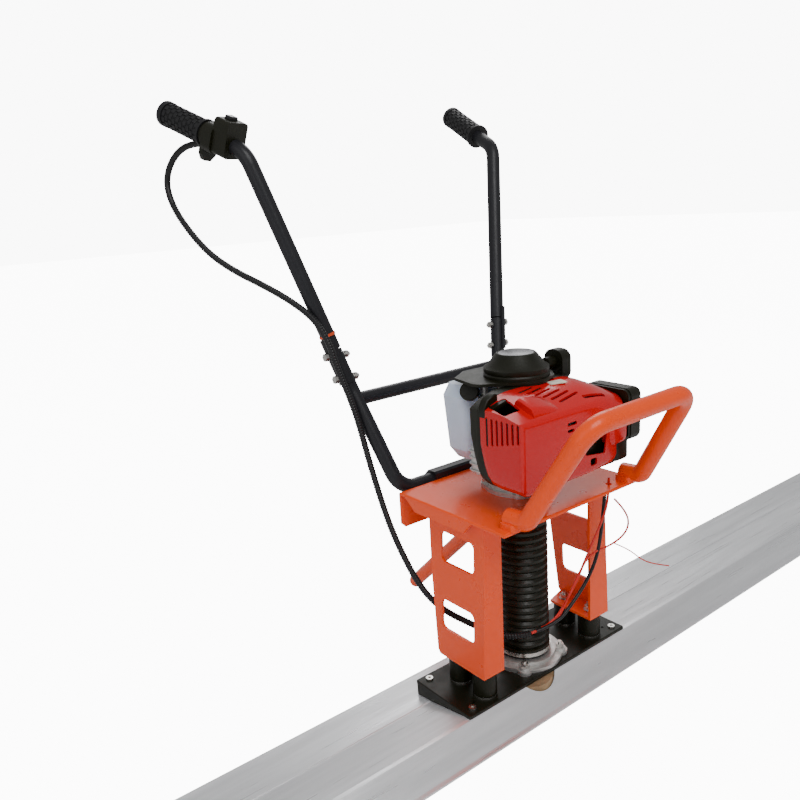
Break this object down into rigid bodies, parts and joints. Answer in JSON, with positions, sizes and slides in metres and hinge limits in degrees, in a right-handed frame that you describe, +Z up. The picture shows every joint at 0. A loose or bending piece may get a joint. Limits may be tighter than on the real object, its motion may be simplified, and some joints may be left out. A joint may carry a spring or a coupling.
{
  "type": "power screed",
  "caption": "Vibrating aluminium concrete screed blade with a small petrol engine on a sprung bracket, a parking leg and a steel tube handle frame.",
  "frame": {"origin": "on the blade's sole, under the vertical axis of the exciter and engine crank", "axes": "+X along the blade, +Y back towards the operator's grips, +Z up"},
  "size_m": [2.5, 0.6696, 0.8734],
  "materials": {
    "blade_aluminium": "mill finish, brushed and scratched",
    "black_steel": "semi-matt black paint",
    "zinc_steel": "bright zinc plate",
    "mount_rubber": "moulded black rubber",
    "frame_red": "orange-red gloss powder coat",
    "cast_aluminium": "as cast",
    "tan_casting": "tan casting skin",
    "bearing_steel": "ground steel",
    "shaft_steel": "machined",
    "boot_rubber": "ribbed black rubber",
    "black_plastic": "fine grain black moulding",
    "muffler_steel": "heat-stained black",
    "filter_foam": "open foam",
    "engine_red": "gloss red moulding",
    "tank_plastic": "translucent bluish white",
    "silver_trim": "silver-grey trim",
    "rope_nylon": "braided rope",
    "tube_black": "satin black powder coat",
    "grip_rubber": "blocked black rubber",
    "switch_plastic": "black button",
    "conduit_plastic": "corrugated black sleeve",
    "wire_red": "red insulation",
    "tie_plastic": "orange-red tie"
  },
  "bodies": {
    "machine": {"blade_profile": "blade_aluminium", "base_plate": "black_steel", "base_plate_bolts": "zinc_steel", "vibration_mounts": "mount_rubber", "mount_studs": "zinc_steel", "left_side_panel": "frame_red", "right_side_panel": "frame_red", "engine_deck": "frame_red", "carry_handle": "frame_red", "leg_pin": "zinc_steel", "exciter_housing": "cast_aluminium", "exciter_lower_cap": "tan_casting", "shaft_bearings": "bearing_steel", "rubber_boot": "boot_rubber", "boot_clamps": "zinc_steel", "clutch_housing": "cast_aluminium", "deck_bolts": "zinc_steel", "crankcase": "cast_aluminium", "fan_housing": "black_plastic", "cylinder": "cast_aluminium", "piston": "shaft_steel", "spark_plug": "shaft_steel", "spark_plug_cap": "black_plastic", "muffler": "muffler_steel", "carburettor": "cast_aluminium", "air_filter_base": "black_plastic", "air_filter_element": "filter_foam", "engine_shroud": "engine_red", "fuel_tank": "tank_plastic", "starter_cover": "black_plastic", "starter_top_disc": "silver_trim", "lower_handle_frame": "tube_black", "handle_crossbar": "tube_black", "left_upper_handle": "tube_black", "right_upper_handle": "tube_black", "handle_joint_bolts": "zinc_steel", "frame_clamps": "tube_black", "left_grip": "grip_rubber", "right_grip": "grip_rubber", "throttle_housing": "black_plastic", "throttle_conduit": "conduit_plastic", "stop_switch_wires": "wire_red", "cable_tie": "tie_plastic"},
    "engine_rotor": {"crankshaft": "shaft_steel", "flywheel_fan": "black_plastic", "clutch_shoes": "shaft_steel"},
    "exciter_rotor": {"clutch_drum": "shaft_steel", "drive_shaft": "shaft_steel", "eccentric_shaft": "shaft_steel"},
    "starter_reel_body": {"starter_reel": "black_plastic"},
    "starter_pull_body": {"starter_grip": "black_plastic", "starter_rope": "rope_nylon"},
    "throttle_lever_body": {"throttle_lever": "black_plastic"},
    "stop_switch_body": {"stop_switch": "switch_plastic"},
    "fuel_cap_body": {"fuel_cap": "black_plastic"},
    "filter_cover_body": {"air_filter_cover": "black_plastic"},
    "choke_body": {"choke_lever": "black_plastic"},
    "primer_body": {"primer_bulb": "mount_rubber"},
    "leg_body": {"parking_leg": "frame_red"}
  },
  "joints": [
    {"name": "engine_crank_spin", "type": "hinge", "parent": "machine", "child": "engine_rotor", "pos_m": [0, 0, 0.4], "axis": [0, 0, 1], "continuous": true},
    {"name": "exciter_shaft_spin", "type": "hinge", "parent": "machine", "child": "exciter_rotor", "pos_m": [0, 0, 0.2], "axis": [0, 0, 1], "continuous": true},
    {"name": "starter_reel_turn", "type": "hinge", "parent": "machine", "child": "starter_reel_body", "pos_m": [0, 0, 0.478], "axis": [0, 0, 1], "range_deg": [0, 750], "stiffness_Nm_per_rad": 0.03, "springref_deg": -343.77},
    {"name": "starter_grip_pull", "type": "slide", "parent": "machine", "child": "starter_pull_body", "axis": [1, 0, 0], "range_m": [0, 0.5]},
    {"name": "throttle_lever_turn", "type": "hinge", "parent": "machine", "child": "throttle_lever_body", "pos_m": [-0.25409, 0.33597, 0.81768], "axis": [-0.2498, 0.8836, 0.3961], "range_deg": [0, 35], "stiffness_Nm_per_rad": 0.4, "springref_deg": -20.05},
    {"name": "stop_button_press", "type": "slide", "parent": "machine", "child": "stop_switch_body", "axis": [-0.1078, 0.3811, -0.9182], "range_m": [0, 0.0025], "stiffness_N_per_m": 500, "springref_m": -0.001},
    {"name": "fuel_cap_unscrew", "type": "hinge", "parent": "machine", "child": "fuel_cap_body", "pos_m": [-0.05, 0.041, 0.449], "axis": [-0.7197, -0.5997, 0.3498], "range_deg": [0, 360]},
    {"name": "filter_cover_pull_off", "type": "slide", "parent": "machine", "child": "filter_cover_body", "axis": [1, 0, 0], "range_m": [0, 0.06]},
    {"name": "choke_lever_turn", "type": "hinge", "parent": "machine", "child": "choke_body", "pos_m": [0.062, -0.074, 0.426], "axis": [0, 0, 1], "range_deg": [-60, 0]},
    {"name": "primer_bulb_press", "type": "slide", "parent": "machine", "child": "primer_body", "axis": [0, 0, 1], "range_m": [0, 0.003], "stiffness_N_per_m": 300, "springref_m": -0.001},
    {"name": "parking_leg_swing", "type": "hinge", "parent": "machine", "child": "leg_body", "pos_m": [0, 0.064, 0.246], "axis": [1, 0, 0], "range_deg": [-15, 33]}
  ],
  "couplings": [
    {"joint": "starter_grip_pull", "follows": "starter_reel_turn", "m_per_rad": 0.038}
  ]
}
